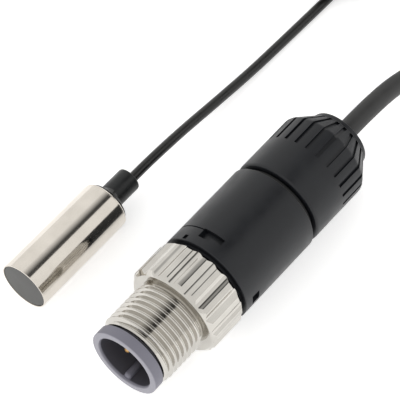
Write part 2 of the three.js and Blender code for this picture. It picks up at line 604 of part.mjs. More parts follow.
function coilWinding(front) {
  const step = SEATED + BOBBIN_WALL + 0.08;
  return ring(BOBBIN_CORE + 0.06, BOBBIN_R - SEATED, front + step, front + CORE_FLOOR - step, HEAD_SIDES);
}

// A soft sleeve round a cord: its inner end is in its holder, its outer end is rounded.
function cableBoot(outside, inside, outerR, holeR) {
  const step = 0.4;
  return turned([
    [holeR, -inside], [outerR, -inside], [outerR, outside - 2 * step],
    [outerR - 0.6 * step, outside - 0.6 * step], [outerR - 1.6 * step, outside], [holeR, outside],
  ], SMALL_SIDES);
}

function pottingPlug(front) {
  const holeR = BOOT_R + SEATED;
  const lipR = HEAD_BORE - HEAD_LIP - SEATED;
  const meniscus = 0.6; // the resin creeps this far up the boot
  return turned([
    [holeR, front], [CAP_R, front], [CAP_R, HEAD_LENGTH - 0.65], [lipR, HEAD_LENGTH - 0.5], [lipR, HEAD_LENGTH],
    [holeR + 0.25, HEAD_LENGTH + 0.75 * meniscus], [holeR, HEAD_LENGTH + meniscus],
  ], HEAD_SIDES);
}

function addHead() {
  add('head_case', headCase(), 'nickel', HEAD_PLACE);
  const skirtR = CAP_R - SKIRT_WALL;
  const recess = 0.05; // the cap's face lies this much inside the case's edge
  const cap = turned([
    [0, recess], [CAP_R, recess], [CAP_R, CAP_LENGTH], [skirtR, CAP_LENGTH], [skirtR, CAP_WALL], [0, CAP_WALL],
  ], HEAD_SIDES);
  add('sensing_cap', cap, 'facePlastic', HEAD_PLACE);
  const coreFront = CAP_WALL + SEATED;
  add('ferrite_core', ferriteCore(coreFront), 'ferrite', HEAD_PLACE);
  add('coil_bobbin', coilBobbin(coreFront), 'whitePlastic', HEAD_PLACE);
  add('coil_winding', coilWinding(coreFront), 'copper', HEAD_PLACE);

  const boardFront = CAP_LENGTH + FACE_GAP;
  const boardMiddle = boardFront + BOARD_LENGTH / 2;
  const boardWidth = 2 * (HEAD_BORE - 0.9);
  const board = block(boardWidth, BOARD_LENGTH, BOARD_THICKNESS, [0, boardMiddle, 0]);
  add('head_circuit_board', board, 'board', HEAD_PLACE);
  const partHeight = 0.8;
  const partZ = BOARD_THICKNESS / 2 + SEATED + partHeight / 2;
  add('head_chip', block(2.4, 2.8, partHeight, [0, boardMiddle - 2, partZ]), 'chip', HEAD_PLACE);
  add('head_capacitor', block(1.2, 2.0, partHeight, [0.4, boardMiddle + 2, partZ]), 'tan', HEAD_PLACE);

  const plugFront = HEAD_LENGTH - POTTING_LENGTH;
  add('potting_plug', pottingPlug(plugFront), 'resin', HEAD_PLACE);
  const bootPlace = [HEAD_X, HEAD_REAR, HEAD_R];
  const boot = cableBoot(BOOT_LENGTH, POTTING_LENGTH, BOOT_R, LEAD_R + SEATED);
  add('cable_boot', boot, 'rubber', bootPlace);
  const leadEnd = ring(0, LEAD_R, SEATED - POTTING_LENGTH, BOOT_LENGTH - 3, PIN_SIDES);
  add('lead_jacket_end', leadEnd, 'leadSkin', bootPlace);
}

// ---------- amplifier ----------
// Everything is turned about +Y; the lead comes in at the near end and the cable at the far end.
function addAmplifier() {
  const group = new THREE.Group();
  group.position.set(AMP_X, AMP_Y, AMP_R);
  sensor.add(group);
  const centred = [0, 0, 0];
  const half = AMP_LENGTH / 2;
  const edge = 0.15;
  const lampY = half - LAMP_SETBACK;
  const windowHole = ring(0, LAMP_R + RUNNING, 0, 2 * AMP_R, PIN_SIDES)
    .rotate([90, 0, 0])
    .translate([0, lampY, 0]);
  const tube = turned([
    [AMP_BORE, -half], [AMP_R - edge, -half], [AMP_R, -half + edge], [AMP_R, half - edge], [AMP_R - edge, half],
    [AMP_BORE, half],
  ], HEAD_SIDES);
  add('amplifier_case', tube.subtract(windowHole), 'blackPlastic', centred, group);

  const ends = [
    { name: 'lead', turn: 180, cordR: LEAD_R },
    { name: 'cable', turn: 0, cordR: CABLE_R },
  ];
  for (const { name, turn, cordR } of ends) {
    const bootR = cordR + AMP_BOOT_WALL;
    const holeR = bootR + SEATED;
    const plugR = AMP_BORE - SEATED;
    const plugFront = half - AMP_PLUG_LENGTH;
    const cap = turned([
      [holeR, plugFront], [plugR, plugFront], [plugR, half + SEATED], [AMP_R, half + SEATED],
      [AMP_R, AMP_END - edge], [AMP_R - edge, AMP_END], [holeR, AMP_END],
    ], HEAD_SIDES);
    const boot = cableBoot(AMP_BOOT_LENGTH, AMP_PLUG_LENGTH, bootR, cordR + SEATED).translate([0, AMP_END, 0]);
    add(`amplifier_${name}_cap`, cap.rotate([0, 0, turn]), 'blackPlastic', centred, group);
    add(`amplifier_${name}_boot`, boot.rotate([0, 0, turn]), 'rubber', centred, group);
  }

  const boardLength = AMP_LENGTH - 2 * AMP_PLUG_LENGTH - 2;
  const boardHeight = 1.0;
  const boardZ = -0.6; // below the axis, so that the parts on it have room
  const boardTop = boardZ + boardHeight / 2;
  const board = block(2 * AMP_BORE - 1.4, boardLength, boardHeight, [0, 0, boardZ]);
  add('amplifier_board', board, 'board', centred, group);
  const foot = boardTop + SEATED;
  const chipHeight = 1.2;
  const capacitorHeight = 1.6;
  const lampHeight = 0.9;
  add('amplifier_chip', block(4, 5, chipHeight, [0, -5, foot + chipHeight / 2]), 'chip', centred, group);
  const capacitor = block(2.4, 3.4, capacitorHeight, [0, 3, foot + capacitorHeight / 2]);
  add('amplifier_capacitor', capacitor, 'tan', centred, group);
  const lamp = block(1.2, 1.6, lampHeight, [0, lampY, foot + lampHeight / 2]);
  add('indicator_lamp', lamp, 'amber', centred, group);
  const lensFoot = foot + lampHeight + 0.2;
  const lens = turned([[0, lensFoot], [LAMP_R, lensFoot], [LAMP_R, AMP_R - 0.3], [0, AMP_R - 0.1]], PIN_SIDES);
  add('indicator_window', lens.rotate([90, 0, 0]).translate([0, lampY, 0]), 'amber', centred, group);
}

// ---------- cords ----------
// The way from a piece's end down to the surface.
function fallingRoute(end, endHeight, radius, drop) {
  const low = radius + REST;
  return drop.map(([x, y, share]) => [end[0] + x, end[1] + y, low + share * (endHeight - low)]);
}

// Points that are measured from a place on the surface.
function routeFrom([atX, atY], points) {
  return points.map(([x, y, z]) => [atX + x, atY + y, z]);
}

// A hank's closed outline, at a distance from the line between the middles of its folds.
function hankOutline(path, distance, run) {
  path.moveTo(distance, 0);
  path.lineTo(distance, run);
  path.absarc(0, run, distance, 0, Math.PI);
  path.lineTo(-distance, 0);
  path.absarc(0, 0, distance, Math.PI, 2 * Math.PI);
  return path;
}

// A laid hank, as one ring with straight sides and round ends.
function hankRing({ fold, run, low, high }, at, radius) {
  const shape = hankOutline(new THREE.Shape(), fold + radius, run);
  shape.holes.push(hankOutline(new THREE.Path(), fold - radius, run));
  const depth = high - low;
  const geometry = new THREE.ExtrudeGeometry(shape, { depth, curveSegments: 10, bevelEnabled: false });
  return toSolid(geometry).translate([...at, low]);
}

// A band round the strands of a hank's left (-1) or right (1) side, halfway along.
function hankTie({ fold, run, high }, at, radius, { width, thick, room }, side) {
  const innerX = radius + room;
  const outerX = innerX + thick;
  const frame = new THREE.Shape();
  frame.moveTo(-outerX, 0);
  frame.lineTo(outerX, 0);
  frame.lineTo(outerX, high + room + thick);
  frame.lineTo(-outerX, high + room + thick);
  frame.closePath();
  const hollow = new THREE.Path();
  hollow.moveTo(-innerX, thick);
  hollow.lineTo(-innerX, high + room);
  hollow.lineTo(innerX, high + room);
  hollow.lineTo(innerX, thick);
  hollow.closePath();
  frame.holes.push(hollow);
  return pushed(frame, -width / 2, width / 2).translate([at[0] + side * fold, at[1] + run / 2, 0]);
}

function addCords() {
  const leadWay = fallingRoute(LEAD_END, HEAD_R, LEAD_R, LEAD_DROP);
  const leadTail = routeFrom([AMP_X, AMP_TIP], LEAD_TAIL);
  add('head_lead', cord(leadWay, LEAD_R, 20), 'leadSkin');
  add('head_lead_hank', hankRing(LEAD_HANK, LEAD_HANK_AT, LEAD_R), 'leadSkin');
  add('head_lead_tail', cord(leadTail, LEAD_R, 12), 'leadSkin');
  add('head_lead_tie', hankTie(LEAD_HANK, LEAD_HANK_AT, LEAD_R, LEAD_TIE, -1), 'black');

  const cableWay = fallingRoute(CABLE_END, GRIP_R, CABLE_R, CABLE_DROP);
  const cableRun = routeFrom(CABLE_HANK_AT, CABLE_RUN);
  const cableTail = routeFrom([AMP_X, AMP_Y + AMP_REACH], CABLE_TAIL);
  add('connector_cable', cord([...cableWay, ...cableRun], CABLE_R, 10), 'cableSkin');
  add('connector_cable_hank', hankRing(CABLE_HANK, CABLE_HANK_AT, CABLE_R), 'cableSkin');
  add('connector_cable_tail', cord(cableTail, CABLE_R, 16), 'cableSkin');
  add('connector_cable_tie', hankTie(CABLE_HANK, CABLE_HANK_AT, CABLE_R, CABLE_TIE, 1), 'black');
}

addPlug();
addHead();
addAmplifier();
addCords();

export default sensor;
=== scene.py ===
import math

import bmesh
import bpy
from mathutils import Matrix, Vector


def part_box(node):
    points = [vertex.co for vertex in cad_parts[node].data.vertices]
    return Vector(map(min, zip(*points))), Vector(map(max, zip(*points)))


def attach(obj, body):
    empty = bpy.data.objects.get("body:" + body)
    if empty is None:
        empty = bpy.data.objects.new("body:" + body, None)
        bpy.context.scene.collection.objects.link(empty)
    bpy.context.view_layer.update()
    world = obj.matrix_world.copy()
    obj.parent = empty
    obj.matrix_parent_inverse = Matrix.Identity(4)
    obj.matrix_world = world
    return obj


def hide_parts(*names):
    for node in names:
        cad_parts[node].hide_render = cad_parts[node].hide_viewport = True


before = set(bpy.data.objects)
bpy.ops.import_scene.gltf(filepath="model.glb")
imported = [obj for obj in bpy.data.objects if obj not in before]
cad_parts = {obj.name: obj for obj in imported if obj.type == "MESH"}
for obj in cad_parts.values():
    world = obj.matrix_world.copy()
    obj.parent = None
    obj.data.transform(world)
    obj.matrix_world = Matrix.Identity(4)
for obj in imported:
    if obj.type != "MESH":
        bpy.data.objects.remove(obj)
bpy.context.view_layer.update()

# %% [markdown]
# A miniature proximity sensor: a smooth nickel head on a thin lead, an amplifier in the cable
# and a round plug. The solid model is loaded above, in metres. It stays where it is, and each
# piece made here is put in its place.

# %% [markdown]
# The sensor is two small pieces lying side by side: a smooth nickel head, and a round plug.
# Each is turned about its own axis, which runs along +Y. Every outline below is written in
# millimetres from the piece's own front, so the two front points are all that is needed to
# place everything. They come from the frame, and so does every length that the frame has.

# %% The two axes and the plug's stations
MM = 0.001


def front_of(node, face_node=None):
    """The point where a round node's axis, along +Y, meets the front of face_node."""
    low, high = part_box(node)
    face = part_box(face_node or node)[0].y
    return Vector(((low.x + high.x) / 2, face, (low.z + high.z) / 2))


PLUG = front_of("coupling_nut", "contact_insert")
HEAD = front_of("head_case")


def span(node, front=PLUG):
    """Where a node starts and ends along +Y, in millimetres from a front point."""
    low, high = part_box(node)
    return (low.y - front.y) / MM, (high.y - front.y) / MM


NUT_FRONT, NUT_REAR = span("coupling_nut")
GLAND_FRONT, GLAND_REAR = span("gland_nut")
HEAD_LENGTH = span("head_case", HEAD)[1]
BOOT_REAR = span("cable_boot", HEAD)[1]
BODY_FRONT = NUT_REAR + 0.6
BODY_REAR = GLAND_FRONT - 1.0
print("plug", round(GLAND_REAR, 2), "mm long, head", round(HEAD_LENGTH, 2), "mm long")

# %% [markdown]
# The camera looks down at the pieces from the front right, through a long lens, so that
# parallel lines stay nearly parallel. It has no roll: its right-hand side is level.

# %% Camera
camera_data = bpy.data.cameras.new("camera")
camera_data.lens = 225
camera_data.clip_start = 0.01
camera_data.clip_end = 10
camera = bpy.data.objects.new("camera", camera_data)
bpy.context.scene.collection.objects.link(camera)
camera.location = PLUG + Vector((117.3, -127.15, 303.03)) * MM
looking = Vector((-0.348, 0.427, -0.8347))
camera.rotation_mode = "QUATERNION"
camera.rotation_quaternion = looking.to_track_quat("-Z", "Y")
bpy.context.scene.camera = camera
bpy.context.scene.view_settings.view_transform = "Standard"
print("camera", round((camera.location - PLUG).length, 3), "m from the plug's mouth")

# %% [markdown]
# A cord is a curve with a round section. Its points are laid one by one where it falls from its
# piece, runs over the table and turns into the amplifier. The spare length is folded into a
# hank that lies in line with the piece, out of the camera's view: every strand lies on the
# one below it, and a loop works out its turns.

# %% Cord routes
LEAD_R = 0.78
CABLE_R = 1.55
AMP_LOW, AMP_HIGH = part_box("amplifier_case")
AMP_X = (AMP_LOW.x + AMP_HIGH.x) / 2 / MM
AMP_Z = (AMP_LOW.z + AMP_HIGH.z) / 2 / MM
LEAD_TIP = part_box("amplifier_lead_boot")[0].y / MM
CABLE_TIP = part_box("amplifier_cable_boot")[1].y / MM
LEAD_EXIT = (HEAD.x / MM, HEAD.y / MM + BOOT_REAR)
CABLE_EXIT = (PLUG.x / MM, PLUG.y / MM + GLAND_REAR)

# sideways and along from the exit, and the share of the exit's height that is left
LEAD_DROP = [
    (0, -2.4, 1), (0, 0, 1), (-0.05, 3.6, 0.97), (-0.1, 8.6, 0.83), (-0.15, 13.6, 0.61), (-0.1, 18.6, 0.375),
    (-0.05, 23.6, 0.17), (0.1, 28.6, 0.05), (0.2, 33.6, 0), (0.35, 39.6, 0), (0.5, 45.6, 0), (0.55, 50.0, 0),
]
CABLE_DROP = [
    (0, -2.2, 1), (0, 0, 1), (0, 3.8, 0.99), (0, 8.3, 0.94), (0, 12.8, 0.8), (0.05, 17.0, 0.53),
    (0.05, 21.2, 0.2),
]
# from the middle of the hank's near fold, with the height over the table
LEAD_RUN = [(4.7, -2.0, 1.15)]
CABLE_RUN = [
    (-0.8, -14.9, 1.72), (0.25, -13.0, 1.72), (1.95, -10.9, 1.8), (4.3, -8.9, 1.9), (6.7, -6.9, 2.0),
    (8.5, -3.9, 2.05),
]
# from the tip of the amplifier's boot
LEAD_TAIL = [
    (-14.8, -4.6, 5.9), (-13.49, -6.9, 5.5), (-11.46, -8.62, 5.0), (-7.64, -9.64, 4.2), (-3.82, -8.62, 3.8),
    (-1.02, -5.82, 4.1), (0, -2, 4.45), (0, 0.5, 4.5), (0, 3, 4.5), (0, 5.5, 4.5),
]
CABLE_TAIL = [
    (25.25, 1.0, 5.17), (24.49, 5.32, 5.1), (22.3, 9.12, 4.9), (18.94, 11.94, 4.5), (14.82, 13.44, 4.0),
    (10.43, 13.44, 3.6), (6.31, 11.94, 3.5), (2.96, 9.12, 3.75), (0.76, 5.32, 4.2), (0, 1, 4.5), (0, -2, 4.5),
    (0, -5.5, 4.5),
]


def hank_of(node, radius):
    """The middle of a hank's near fold, its folds' radius and its straight run, in millimetres."""
    low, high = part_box(node)
    fold = (high.x - low.x) / 2 / MM - radius
    middle_x = (low.x + high.x) / 2 / MM
    return middle_x, low.y / MM + fold + radius, fold, (high.y - low.y) / MM - 2 * (fold + radius)


def falling(exit_xy, exit_height, radius, drop):
    """The points from inside a piece down to the table."""
    low = radius + 0.02
    return [(exit_xy[0] + x, exit_xy[1] + y, low + share * (exit_height - low)) for x, y, share in drop]


def points_from(place, points):
    return [(place[0] + x, place[1] + y, z) for x, y, z in points]


def hank_turns(hank, low, step, half_turns):
    """A hank's points: up its right side and down its left, where each turn climbs by a strand."""
    x, y, fold, run = hank
    points = []
    for half in range(half_turns):
        side = -1 if half % 2 else 1
        height = low + step * (half // 2)
        climb = step if side < 0 else 0
        start_y, end_y = (y, y + run) if side > 0 else (y + run, y)
        for t in (0, 0.15, 0.3, 0.45, 0.6, 0.75, 0.9, 1):
            points.append((x + side * fold, start_y + t * (end_y - start_y), height + climb * t))
        if half < half_turns - 1:
            for k in range(1, 12):
                angle = math.pi * k / 12 + (0 if side > 0 else math.pi)
                points.append((x + fold * math.cos(angle), end_y + fold * math.sin(angle), height + climb))
    return points


LEAD_HANK = hank_of("head_lead_hank", LEAD_R)
CABLE_HANK = hank_of("connector_cable_hank", CABLE_R)
lead_points = (
    falling(LEAD_EXIT, HEAD.z / MM, LEAD_R, LEAD_DROP)
    + points_from(LEAD_HANK, LEAD_RUN)
    + hank_turns(LEAD_HANK, 1.23, 1.6, 6)
    + points_from((AMP_X, LEAD_TIP), LEAD_TAIL)
)
cable_points = (
    falling(CABLE_EXIT, PLUG.z / MM, CABLE_R, CABLE_DROP)
    + points_from(CABLE_HANK, CABLE_RUN)
    + hank_turns(CABLE_HANK, 2.05, 3.12, 3)
    + points_from((AMP_X, CABLE_TIP), CABLE_TAIL)
)

# %% [markdown]
# Each route becomes one open spline with a round bevel, a little smoothed between its points,
# as a stiff jacket is. The lengths of both routes are printed.


# %% Cord curves
def cord_curve(name, points, radius):
    """A round cord along points in millimetres, as a smooth curve that meets its first and last point."""
    data = bpy.data.curves.new(name, "CURVE")
    data.dimensions = "3D"
    data.bevel_depth = radius * MM
    data.bevel_resolution = 6
    data.resolution_u = 4
    data.use_fill_caps = True
    spline = data.splines.new("NURBS")
    spline.points.add(len(points) - 1)
    for point, place in zip(spline.points, points):
        point.co = (*[v * MM for v in place], 1)
    spline.order_u = 3
    spline.use_endpoint_u = True
    cord = bpy.data.objects.new(name, data)
    bpy.context.scene.collection.objects.link(cord)
    return cord


def length_of(points):
    """The length in metres along points in millimetres."""
    return sum((Vector(a) - Vector(b)).length for a, b in zip(points, points[1:])) * MM


lead = cord_curve("sensor_lead", lead_points, LEAD_R)
cable = cord_curve("plug_cable", cable_points, CABLE_R)
print("lead", round(length_of(lead_points[1:]), 4), "m, cable", round(length_of(cable_points[1:]), 4), "m")

# %% [markdown]
# Most pieces are turned on a lathe or moulded round an axis. One function makes such a skin:
# it sweeps an outline of (radius, length) points round +Y in columns, joins neighbouring
# columns with quads, and welds what meets. A rule that moves each column's points gives the
# flutes and the thread, so they are real geometry and cast their own light.

# %% Mesh helpers
SHARP_ANGLE = math.radians(33)
WELD = 2e-7


def rounded(outline, steps=4):
    """An outline whose corners (radius, length, rounding) are cut back by their rounding and curved."""
    loop = outline[0][0] > 0
    points = []
    for i, corner in enumerate(outline):
        here = Vector(corner[:2])
        size = corner[2] if len(corner) > 2 else 0
        inner = loop or 0 < i < len(outline) - 1
        if size and inner:
            before = Vector(outline[i - 1][:2])
            after = Vector(outline[(i + 1) % len(outline)][:2])
            start = here + (before - here).normalized() * size
            end = here + (after - here).normalized() * size
            for k in range(steps + 1):
                t = k / steps
                points.append(start * (1 - t) ** 2 + here * (2 * t * (1 - t)) + end * t * t)
        else:
            points.append(here)
    if loop:
        points.append(points[0].copy())
    return [(p.x, p.y) for p in points]


def mesh_object(name, bm, place):
    """Turns a mesh in metres into an object at a place, smooth but for its sharp edges."""
    bmesh.ops.remove_doubles(bm, verts=bm.verts, dist=WELD)
    bmesh.ops.recalc_face_normals(bm, faces=bm.faces)
    for face in bm.faces:
        face.smooth = True
    for edge in bm.edges:
        if len(edge.link_faces) == 2 and edge.calc_face_angle(0) > SHARP_ANGLE:
            edge.smooth = False
    data = bpy.data.meshes.new(name)
    bm.to_mesh(data)
    bm.free()
    made = bpy.data.objects.new(name, data)
    made.location = place
    bpy.context.scene.collection.objects.link(made)
    return made


def skin(bm, columns):
    """Joins columns of (x, y, z) points in millimetres into quads."""
    grid = [[bm.verts.new(Vector(point) * MM) for point in column] for column in columns]
    for left, right in zip(grid, grid[1:]):
        for k in range(len(left) - 1):
            bm.faces.new((left[k], left[k + 1], right[k + 1], right[k]))


def round_point(radius, length, angle):
    """A point about +Y; the angle runs from the top towards +X."""
    return radius * math.sin(angle), length, radius * math.cos(angle)


def full_turn(sides):
    return [2 * math.pi * i / sides for i in range(sides + 1)]


def turned_mesh(outline, sides=96, bm=None):
    """Sweeps one outline round +Y."""
    bm = bm or bmesh.new()
    points = rounded(outline)
    skin(bm, [[round_point(r, y, angle) for r, y in points] for angle in full_turn(sides)])
    return bm


def turned(name, outline, place, sides=96):
    return mesh_object(name, turned_mesh(outline, sides), place)


# %% [markdown]
# Materials are built from procedural nodes. One function adds a node with its settings and
# its links, and one turns a sRGB hex colour to the linear numbers that the shader needs.
# Patterns read Object coordinates, which are metres here, so a pattern's scale is 1 over its
# real size.


# %% Material helpers
def linear(hex_colour):
    """The linear colour of a sRGB hex code."""
    channels = [int(hex_colour[i:i + 2], 16) / 255 for i in (0, 2, 4)]
    return [*[c / 12.92 if c <= 0.04045 else ((c + 0.055) / 1.055) ** 2.4 for c in channels], 1]


def add_node(tree, kind, settings=None, links=None):
    """Adds a node; settings name its properties or sockets, links map a socket to another's output."""
    made = tree.nodes.new(kind)
    for name, value in (settings or {}).items():
        if name in made.inputs or isinstance(name, int):
            made.inputs[name].default_value = value
        else:
            setattr(made, name, value)
    for name, source in (links or {}).items():
        tree.links.new(source, made.inputs[name])
    return made


def new_surface(name, settings):
    """A material with its shader set, and what the patterns start from."""
    material = bpy.data.materials.new(name)
    material.use_nodes = True
    tree = material.node_tree
    shader = tree.nodes["Principled BSDF"]
    for socket, value in settings.items():
        shader.inputs[socket].default_value = value
    place = add_node(tree, "ShaderNodeTexCoord").outputs["Object"]
    return material, tree, shader, place


def noise(tree, place, size_mm, detail=2, stretch=(1, 1, 1)):
    """Noise whose spots are size_mm across, stretched along an axis where its number is under 1."""
    scaled = add_node(tree, "ShaderNodeMapping", {"Scale": stretch}, {"Vector": place})
    return add_node(
        tree, "ShaderNodeTexNoise", {"Scale": 1 / (size_mm * MM), "Detail": detail},
        {"Vector": scaled.outputs["Vector"]},
    ).outputs["Fac"]


def spread(tree, factor, low, high, start=0.3, end=0.7):
    """Maps a pattern's range start to end onto low to high."""
    return add_node(
        tree, "ShaderNodeMapRange",
        {"From Min": start, "From Max": end, "To Min": low, "To Max": high},
        {"Value": factor},
    ).outputs["Result"]


def two_tones(tree, factor, dark, light):
    """Blends two hex colours by a pattern."""
    mix = add_node(tree, "ShaderNodeMix", {"data_type": "RGBA"}, {"Factor": factor})
    mix.inputs["A"].default_value = linear(dark)
    mix.inputs["B"].default_value = linear(light)
    return mix.outputs["Result"]


def calculated(tree, operation, *values):
    """The result of a maths node on one or two patterns."""
    links = dict(enumerate(values))
    return add_node(tree, "ShaderNodeMath", {"operation": operation}, links).outputs["Value"]


def bump(tree, height, depth_mm, strength=1.0, below=None):
    """A bump of a real depth, over another bump if there is one."""
    links = {"Height": height}
    if below:
        links["Normal"] = below
    return add_node(
        tree, "ShaderNodeBump", {"Strength": strength, "Distance": depth_mm * MM}, links
    ).outputs["Normal"]


BLOTCH_MM = 3.0


def plain_surface(name, dark, light, roughness, grain_mm, depth_mm, settings=None, rough_change=0.06):
    """A moulded or cast surface: two close tones, a fine grain and an uneven gloss."""
    material, tree, shader, place = new_surface(name, settings or {})
    blotches = noise(tree, place, BLOTCH_MM, 3)
    grain = noise(tree, place, grain_mm, 3)
    tone = two_tones(tree, spread(tree, blotches, 0, 1), dark, light)
    tree.links.new(tone, shader.inputs["Base Color"])
    uneven = spread(tree, blotches, roughness - rough_change, roughness + rough_change)
    tree.links.new(uneven, shader.inputs["Roughness"])
    tree.links.new(bump(tree, grain, depth_mm), shader.inputs["Normal"])
    return material


# %% [markdown]
# Nickel plating over brass covers the head and the coupling nut. The head is a drawn tube and
# looks a little warmer than the nut, which is turned. Nickel is a slightly warm mirror; the
# tool leaves very fine rings round the piece, which pull each reflection into a soft streak
# along the axis. The rings are too fine to show, so they are drawn coarser and very shallow.


# %% Nickel-plated brass
def nickel_plated_brass(name, dark, light):
    material, tree, shader, place = new_surface(name, {"Metallic": 1})
    rings = noise(tree, place, 0.22, 2, (0.03, 1, 0.03))
    clouds = noise(tree, place, 4.0, 3)
    specks = noise(tree, place, 0.35, 4)
    tone = two_tones(tree, spread(tree, clouds, 0, 1), dark, light)
    tree.links.new(tone, shader.inputs["Base Color"])
    tree.links.new(spread(tree, specks, 0.08, 0.14), shader.inputs["Roughness"])
    tree.links.new(bump(tree, rings, 0.0006), shader.inputs["Normal"])
    return material


DRAWN_NICKEL = nickel_plated_brass("nickel_plated_drawn_brass", "cec8bf", "d8d2c9")
TURNED_NICKEL = nickel_plated_brass("nickel_plated_turned_brass", "bcb9b3", "c9c6c0")

# %% [markdown]
# The plug's body and gland are glass-filled PBT, moulded against a spark-eroded tool. That
# gives a fine matt grain which scatters the studio into a soft grey sheen near the edges.


# %% Black PBT
BLACK_PBT = plain_surface(
    "black_moulded_pbt", "111317", "17191d", 0.4, 0.16, 0.008, {"IOR": 1.55, "Specular IOR Level": 0.31},
)

# %% [markdown]
# The other plastics are smoother or rougher than the body. The cable's jacket is extruded and
# matt, the lead's is glossy, and the boot is a soft elastomer whose uneven skin breaks up its
# sheen. The resin was poured and set, so it is the smoothest.

# %% Plastics and rubbers
FACE_PBT = plain_surface("dark_grey_pbt_face", "454544", "4c4c4a", 0.55, 0.10, 0.005, {"IOR": 1.55})
NITRILE = plain_surface("black_nitrile_rubber", "0e0e0e", "161616", 0.6, 0.15, 0.006, {"IOR": 1.52})
BOOT_RUBBER = plain_surface(
    "black_boot_elastomer", "111314", "1b1d1e", 0.4, 0.45, 0.02,
    {"IOR": 1.5, "Specular IOR Level": 0.36}, rough_change=0.12,
)
CABLE_PVC = plain_surface(
    "matt_black_cable_pvc", "262626", "2e2e2e", 0.5, 0.30, 0.010, {"IOR": 1.53, "Specular IOR Level": 0.4},
)
LEAD_PVC = plain_surface(
    "glossy_black_lead_pvc", "141413", "1b1b1a", 0.28, 0.40, 0.008, {"IOR": 1.53, "Specular IOR Level": 0.4},
)
RESIN = plain_surface("black_casting_resin", "131312", "20201f", 0.18, 0.50, 0.02, {"IOR": 1.55})
NATURAL_PA = plain_surface("natural_polyamide", "d6d0c0", "e2ddcf", 0.45, 0.15, 0.004, {"IOR": 1.53})
NYLON_TIE = plain_surface("black_nylon_tie", "121212", "1b1b1b", 0.4, 0.2, 0.006, {"IOR": 1.53})
AMBER = plain_surface(
    "amber_polycarbonate", "c87a1c", "e0922c", 0.15, 0.3, 0.002, {"IOR": 1.58, "Transmission Weight": 0.4},
)
BROWN_PVC = plain_surface("brown_core_pvc", "4f2d1b", "5d3723", 0.4, 0.15, 0.003)
BLUE_PVC = plain_surface("blue_core_pvc", "1a4590", "2352a6", 0.4, 0.15, 0.003)
BLACK_PVC = plain_surface("black_core_pvc", "101010", "181818", 0.4, 0.15, 0.003)

# %% [markdown]
# The contacts are plated with thin hard gold, which is duller than polished gold. The rest of
# these are inside: spring steel, sintered ferrite, enamelled wire and the parts of the boards.

# %% Metals and inner parts
GOLD = plain_surface("gold_plated_contact", "c89c60", "d6ac72", 0.42, 0.10, 0.002, {"Metallic": 1})
STEEL = plain_surface("bright_spring_steel", "a9abad", "c0c2c4", 0.28, 0.12, 0.002, {"Metallic": 1})
COPPER = plain_surface("enamelled_copper_wire", "a5572c", "bd6a3a", 0.3, 0.08, 0.01, {"Metallic": 1})
FERRITE = plain_surface("sintered_ferrite", "2c2c2f", "3a3a3e", 0.7, 0.08, 0.006)
MASK_GREEN = plain_surface("green_board_lacquer", "174a2b", "20603a", 0.35, 0.2, 0.002)
EPOXY_CHIP = plain_surface("black_epoxy_chip", "121314", "1a1b1d", 0.5, 0.06, 0.004)
CERAMIC_TAN = plain_surface("tan_ceramic_capacitor", "a87c42", "bd9052", 0.4, 0.08, 0.003)

# %% [markdown]
# A piece made here wears one material, rides on one body and stands for the solid nodes that
# it hides. A node that stays shown is only dressed in a material. The two cords come first.


# %% Dressing helpers
def wear(piece, material, body, slot, *nodes):
    """Gives a piece its material, body and the CAD nodes that it stands for; slot is not used."""
    piece.data.materials.clear()
    piece.data.materials.append(material)
    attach(piece, body)
    if nodes:
        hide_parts(*nodes)
    count = len(piece.data.vertices) if piece.type == "MESH" else 0
    print(piece.name, "->", material.name, count, "points")
    return piece


def dress(nodes, material):
    """Gives CAD nodes that stay shown a finished material."""
    for name in nodes:
        node_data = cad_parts[name].data
        node_data.materials.clear()
        node_data.materials.append(material)


wear(lead, LEAD_PVC, "sensor", "lead_skin", "head_lead", "head_lead_hank", "head_lead_tail")
wear(
    cable, CABLE_PVC, "sensor", "cable_skin",
    "connector_cable", "connector_cable_hank", "connector_cable_tail",
)

# %% [markdown]
# The contact insert is the grey ring at the plug's mouth and the socket behind it. Its lip
# has a small bevel inside, and a rib along the bottom keys the mating socket. A turned
# outline makes the ring, and the rib is a rod with a round nose laid into the socket's wall.

# %% Contact insert
SOCKET_R = 4.55
FLANGE_R = 5.71
FLANGE_LENGTH = 1.75
SOCKET_DEPTH = 9.0
INSERT_R = 4.84
KEY_R = 0.58
KEY_FRONT = 0.45


def contact_insert():
    bm = turned_mesh([
        (0, SOCKET_DEPTH), (SOCKET_R, SOCKET_DEPTH), (SOCKET_R, 0.3, 0.05), (SOCKET_R + 0.18, 0, 0.05),
        (FLANGE_R, 0, 0.12), (FLANGE_R, FLANGE_LENGTH, 0.1), (FLANGE_R - 0.35, FLANGE_LENGTH),
        (FLANGE_R - 0.35, FLANGE_LENGTH - 0.4), (INSERT_R, FLANGE_LENGTH - 0.4), (INSERT_R, BODY_FRONT),
        (0, BODY_FRONT),
    ])
    key = bmesh.new()
    rod = [(0, KEY_FRONT), (KEY_R, KEY_FRONT, 0.45), (KEY_R, SOCKET_DEPTH), (0, SOCKET_DEPTH)]
    turned_mesh(rod, 32, key)
    bmesh.ops.translate(key, verts=key.verts, vec=Vector((0, 0, -(SOCKET_R - 0.15) * MM)))
    key_data = bpy.data.meshes.new("key")
    key.to_mesh(key_data)
    key.free()
    bm.from_mesh(key_data)
    bpy.data.meshes.remove(key_data)
    return mesh_object("contact_carrier", bm, PLUG)
